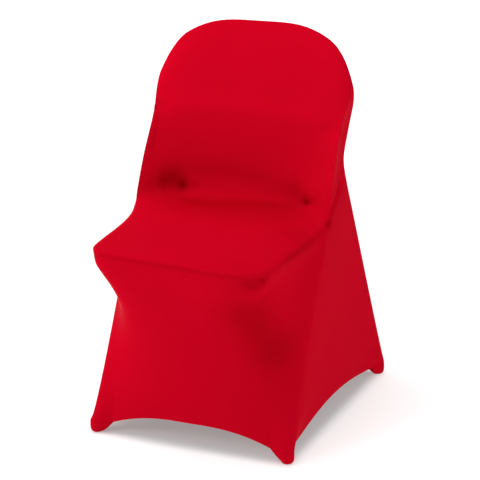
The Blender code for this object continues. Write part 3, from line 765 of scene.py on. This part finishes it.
def seat_edge(points, quads):
    """The front part of the seam between the seat and the skirt, from left to right."""
    shared = np.intersect1d(quads[panel_of == PANELS.index("seat")],
                            quads[panel_of == PANELS.index("skirt_front")])
    line = points[shared]
    line = line[line[:, 1] < SEAT_FRONT_Y + 0.02]
    return line[np.argsort(line[:, 0])]


def creased(points, quads):
    """The rounded cloth with the creases and dimples that the photograph shows."""
    points = points.copy()
    for line, width, rounds in SOFT_EDGES:
        soften(points, quads, line, width, rounds)
    normals = corner_normals(points, quads)
    for middle, push, width in HOLLOWS:
        dimple(points, middle, push, width)
    for line, depth, width, ends in FURROWS:
        furrow(points, normals, line, depth, width, ends)
    edge = seat_edge(points, quads)[::EDGE_STEP]
    for drop, depth, width, way in EDGE_LINES:
        furrow(points, normals, edge - (0.0, 0.0, drop), depth, width, EDGE_FADE, way)
    return points


def cup_reach(angle, radius, tip, lobes):
    """How far the cup reaches from the foot's middle. Outside, the knit runs straight from the
    round part to the tip of each lobe, and under the cover it turns in sharply."""
    reach = radius
    for lobe, outer in lobes:
        off = ((angle - lobe) * outer + 180.0) % 360.0 - 180.0
        straight = degrees(acos(radius / tip))
        if 0.0 <= off <= straight:
            reach = max(reach, radius / cos(radians(straight - off)))
        elif -90.0 < off < 0.0:
            reach = max(reach, radius + (tip - radius) * cos(radians(off)) ** LOBE_POWER)
    return reach


def fit_to_pockets(points):
    """The hems pushed out to the round rims of the pockets that they are sewn to."""
    points = points.copy()
    for foot, lobes in ((FRONT_FOOT, FRONT_LOBES), (REAR_FOOT, REAR_LOBES)):
        for side in (1, -1):
            flat = points[:, :2] - (side * foot[0], foot[1] + FRONT_FEET_Y)
            flat[:, 0] *= side
            reach = np.linalg.norm(flat, axis=1)
            angle = np.degrees(np.arctan2(flat[:, 1], flat[:, 0])) % 360.0
            above = points[:, 2] - POCKET_RIM_Z
            near = np.where((reach < HEM_REACH) & (above < HEM_UP))[0]
            rim = near[above[near] < JOIN_REACH]
            order = rim[np.argsort(angle[rim])]
            tip = POCKET_TABLE[-1][1] + POCKET_LOBE
            wanted = np.array([cup_reach(a, POCKET_TABLE[-1][1], tip, lobes) for a in angle[order]])
            short = np.interp(angle[near], angle[order], wanted - reach[order], period=360.0)
            held = (1 - np.clip(above[near] / HEM_UP, 0.0, 1.0)) ** 2
            step = flat[near] / reach[near, None] * (short * held)[:, None]
            points[near, 0] += step[:, 0] * side
            points[near, 1] += step[:, 1]
    return points


def painted_shade_depth(points):
    """How much painted shade each point gets, 0 to 1, from how deep in a fold it lies."""
    depth = np.zeros(len(points))
    for line, strength, width in PAINTED_SHADE_LINES:
        away, share = line_reach(points, line)
        fade = np.clip(np.minimum(share, 1 - share) / 0.2, 0.0, 1.0) * 0.6 + 0.4
        here = strength * fade * np.exp(-(away / width) ** 2)
        depth = np.maximum(depth, here) + 0.35 * np.minimum(depth, here)
    return np.clip(depth, 0.0, 1.0)


def cloth_piece(name, points, normals, faces):
    """A closed sheet of knit: outer face, inner face and rim."""
    used, faces = np.unique(faces, return_inverse=True)
    faces = faces.reshape(-1, 4)
    outer, normal = points[used], normals[used]
    a, b = faces.ravel(), np.roll(faces, -1, axis=1).ravel()
    keys = a.astype(np.int64) * len(used) + b
    rim = ~np.isin(keys, b.astype(np.int64) * len(used) + a)
    a, b, owner = a[rim], b[rim], np.repeat(np.arange(len(faces)), 4)[rim]
    along = outer[b] - outer[a]
    along /= np.maximum(np.linalg.norm(along, axis=1, keepdims=True), 1e-12)
    inside = outer[faces[owner]].mean(axis=1) - outer[a]
    inside -= along * (inside * along).sum(axis=1, keepdims=True)
    outward = normal[a] + normal[b]
    lift = (inside * outward).sum(axis=1) / (outward * outward).sum(axis=1)
    inside -= outward * lift[:, None]
    inside /= np.maximum(np.linalg.norm(inside, axis=1, keepdims=True), 1e-12)
    pull = np.zeros_like(outer)
    np.add.at(pull, a, inside)
    np.add.at(pull, b, inside)
    pull /= np.maximum(np.linalg.norm(pull, axis=1, keepdims=True), 1e-12)
    outer = outer + pull * VISIBLE_GAP / 2
    inner = outer - normal * THICKNESS
    count = len(used)
    walls = np.stack([b, a, a + count, b + count], axis=1)
    everything = np.concatenate([faces, faces[:, ::-1] + count, walls])
    mesh = bpy.data.meshes.new(name)
    mesh.from_pydata(np.concatenate([outer, inner]).tolist(), [], everything.tolist())
    mesh.shade_smooth()
    mesh.normals_split_custom_set_from_vertices(np.concatenate([normal, -normal]).tolist())
    # painted shade: how deep in a fold each point lies darkens the knit's colour there
    fold = mesh.attributes.new("fold", "FLOAT", "POINT")
    fold.data.foreach_set("value", np.tile(painted_shade_depth(outer), 2))
    mesh.materials.append(knit)
    piece = bpy.data.objects.new(name, mesh)
    bpy.context.collection.objects.link(piece)
    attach(piece, "root")
    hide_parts(name)
    return piece


cloth = knit_cloth(LEVELS)
points = np.empty(len(cloth.vertices) * 3)
cloth.vertices.foreach_get("co", points)
points = points.reshape(-1, 3)
quads = np.empty(len(cloth.loops), dtype=np.int32)
cloth.loops.foreach_get("vertex_index", quads)
quads = quads.reshape(-1, 4)
panel_of = np.empty(len(cloth.polygons), dtype=np.int32)
cloth.polygons.foreach_get("material_index", panel_of)
points = fit_to_pockets(creased(points, quads))
normals = corner_normals(points, quads)

# painted shade: the lines along which the knit is painted darker, with one under the seat's front
# edge
drop, depth, width = EDGE_SHADE
edge_shade_line = seat_edge(points, quads)[::EDGE_STEP] - (0.0, 0.0, drop)
PAINTED_SHADE_LINES = SEAT_SHADE_LINES + HOOD_SHADE_LINES + SKIRT_SHADE_LINES + [(edge_shade_line, depth, width)]

for number, panel in enumerate(PANELS):
    piece = cloth_piece(panel, points, normals, quads[panel_of == number])
    width, length, area = SHEETS[panel]


# Foot pockets
# Four small cups of the same knit, sewn to the lowest corners of the hems, which keep the cover
# down. Each is drawn out into two lobes where the hems pull on it.

CUP_AROUND = 72               # points round a cup


def pocket(end, foot, side, lobes):
    """A foot pocket, finer than its solid."""
    rows = [(radius, 0.0, height, 3) for height, radius in POCKET_TABLE]
    profile = ridge_line(rows)
    cup = [(foot[0], foot[1], 0.0)]
    for radius, _, height in profile:
        tip = radius + POCKET_LOBE * height / POCKET_HEIGHT
        for step in range(CUP_AROUND):
            angle = 360.0 * step / CUP_AROUND
            reach = cup_reach(angle, radius, max(tip, radius + 1e-5), lobes)
            cup.append((foot[0] + reach * cos(radians(angle)),
                        foot[1] + reach * sin(radians(angle)), height))
    cup = np.array(cup)
    faces = [(0, 1 + (k + 2) % CUP_AROUND, 2 + k, 1 + k) for k in range(0, CUP_AROUND, 2)]
    for ring in range(len(profile) - 1):
        low, high = 1 + ring * CUP_AROUND, 1 + (ring + 1) * CUP_AROUND
        faces += [(low + k, low + (k + 1) % CUP_AROUND, high + (k + 1) % CUP_AROUND, high + k)
                  for k in range(CUP_AROUND)]
    faces = np.array(faces)
    if side < 0:
        cup = mirrored(cup)
        faces = faces[:, ::-1]
    cup[:, 1] += FRONT_FEET_Y
    name = "pocket_" + end + ("_right" if side > 0 else "_left")
    piece = cloth_piece(name, cup, corner_normals(cup, faces), faces)


for side in (1, -1):
    pocket("front", FRONT_FOOT, side, FRONT_LOBES)
    pocket("rear", REAR_FOOT, side, REAR_LOBES)


# Floor
# Matt white paper. Outside the cover's footprint it glows a little, so that it stays white and
# the shadow ends between the feet, as it does in the photograph.

FLOOR = 12.0
FOOTPRINT = (0.220, 0.278)    # half width and half depth
FOOTPRINT_Y = 0.0375

paper = bpy.data.materials.new("matt_white_paper")
paper.use_nodes = True
tree = paper.node_tree
sheet = tree.nodes["Principled BSDF"]
sheet.inputs["Base Color"].default_value = srgb("C4C4C4")
sheet.inputs["Roughness"].default_value = 0.9
sheet.inputs["Specular IOR Level"].default_value = 0.0
place = node(tree, "ShaderNodeTexCoord").outputs["Generated"]
shifted = node(tree, "ShaderNodeVectorMath", [("Vector", place)], operation="SUBTRACT")
shifted.inputs[1].default_value = (0.5, 0.5 + FOOTPRINT_Y / FLOOR, 0.0)
spread = node(tree, "ShaderNodeVectorMath", [("Vector", shifted.outputs["Vector"])],
              operation="ABSOLUTE")
apart = node(tree, "ShaderNodeSeparateXYZ", [("Vector", spread.outputs["Vector"])])
beside = node(tree, "ShaderNodeMath", [("Value", apart.outputs["X"])], operation="SUBTRACT")
beside.inputs[1].default_value = FOOTPRINT[0] / FLOOR
before = node(tree, "ShaderNodeMath", [("Value", apart.outputs["Y"])], operation="SUBTRACT")
before.inputs[1].default_value = FOOTPRINT[1] / FLOOR
outside = node(tree, "ShaderNodeMath", [("Value", beside.outputs["Value"])], operation="MAXIMUM")
tree.links.new(before.outputs["Value"], outside.inputs[1])
glow = node(tree, "ShaderNodeMapRange", [("Value", outside.outputs["Value"])],
            interpolation_type="SMOOTHSTEP", From_Min=-0.012 / FLOOR, From_Max=0.030 / FLOOR,
            To_Min=0.28, To_Max=0.62)
far = node(tree, "ShaderNodeMapRange", [("Value", outside.outputs["Value"])],
           interpolation_type="SMOOTHSTEP", From_Min=0.6 / FLOOR, From_Max=2.6 / FLOOR, To_Max=0.45)
total = node(tree, "ShaderNodeMath", [("Value", glow.outputs["Result"])], operation="ADD")
tree.links.new(far.outputs["Result"], total.inputs[1])
tree.links.new(total.outputs["Value"], sheet.inputs["Emission Strength"])
sheet.inputs["Emission Color"].default_value = srgb("FFFFFF")
bpy.ops.mesh.primitive_plane_add(size=1.0)
floor = bpy.context.object
floor.name = "floor"
floor.scale = (FLOOR, FLOOR, 1.0)
floor.data.materials.append(paper)


# Light
# A white room with four soft panels: a key high on the left, one overhead, a narrow one close
# on the left for the highlight down that corner, and a fill on the right.

AIM = (0.0, 0.0, 0.4)
world = bpy.data.worlds.new("studio")
bpy.context.scene.world = world
world.use_nodes = True
world.node_tree.nodes["Background"].inputs["Color"].default_value = srgb("FFFFFF")
world.node_tree.nodes["Background"].inputs["Strength"].default_value = 0.43


def softbox(name, place, width, height, power):
    """A soft light panel that faces the cover."""
    lamp = bpy.data.lights.new(name, "AREA")
    lamp.shape = "RECTANGLE"
    lamp.size, lamp.size_y = width, height
    lamp.energy = power
    holder = bpy.data.objects.new(name, lamp)
    bpy.context.collection.objects.link(holder)
    holder.location = place
    holder.rotation_euler = (Vector(place) - Vector(AIM)).to_track_quat("Z", "Y").to_euler()


softbox("key", (-2.0, -3.3, 2.4), 1.4, 1.4, 45.0)
softbox("overhead", (-0.5, -0.2, 3.2), 2.0, 2.0, 47.0)
softbox("left_strip", (-1.9, -0.6, 1.0), 0.5, 1.4, 11.5)
softbox("right_fill", (3.4, -0.2, 1.1), 1.6, 1.6, 25.0)


# Camera
# Fitted to the outline in the photograph.

AZIMUTH, ELEVATION = radians(22.706), radians(18.661)
DISTANCE = 5.0
PHOTO_FOCAL = 2330.287        # focal length in pixels of a picture this wide
PHOTO_WIDTH = 480
back_way = Vector((sin(AZIMUTH) * cos(ELEVATION), -cos(AZIMUTH) * cos(ELEVATION), sin(ELEVATION)))
aim = Vector((0.03, 0.2 + FRONT_FEET_Y, 0.406))
lens = bpy.data.cameras.new("camera")
lens.sensor_width = 36.0
lens.lens = lens.sensor_width * PHOTO_FOCAL / PHOTO_WIDTH
lens.clip_end = 50.0
camera = bpy.data.objects.new("camera", lens)
bpy.context.collection.objects.link(camera)
camera.location = aim + back_way * DISTANCE
camera.rotation_euler = back_way.to_track_quat("Z", "Y").to_euler()
bpy.context.scene.camera = camera
bpy.context.scene.view_settings.view_transform = "Standard"
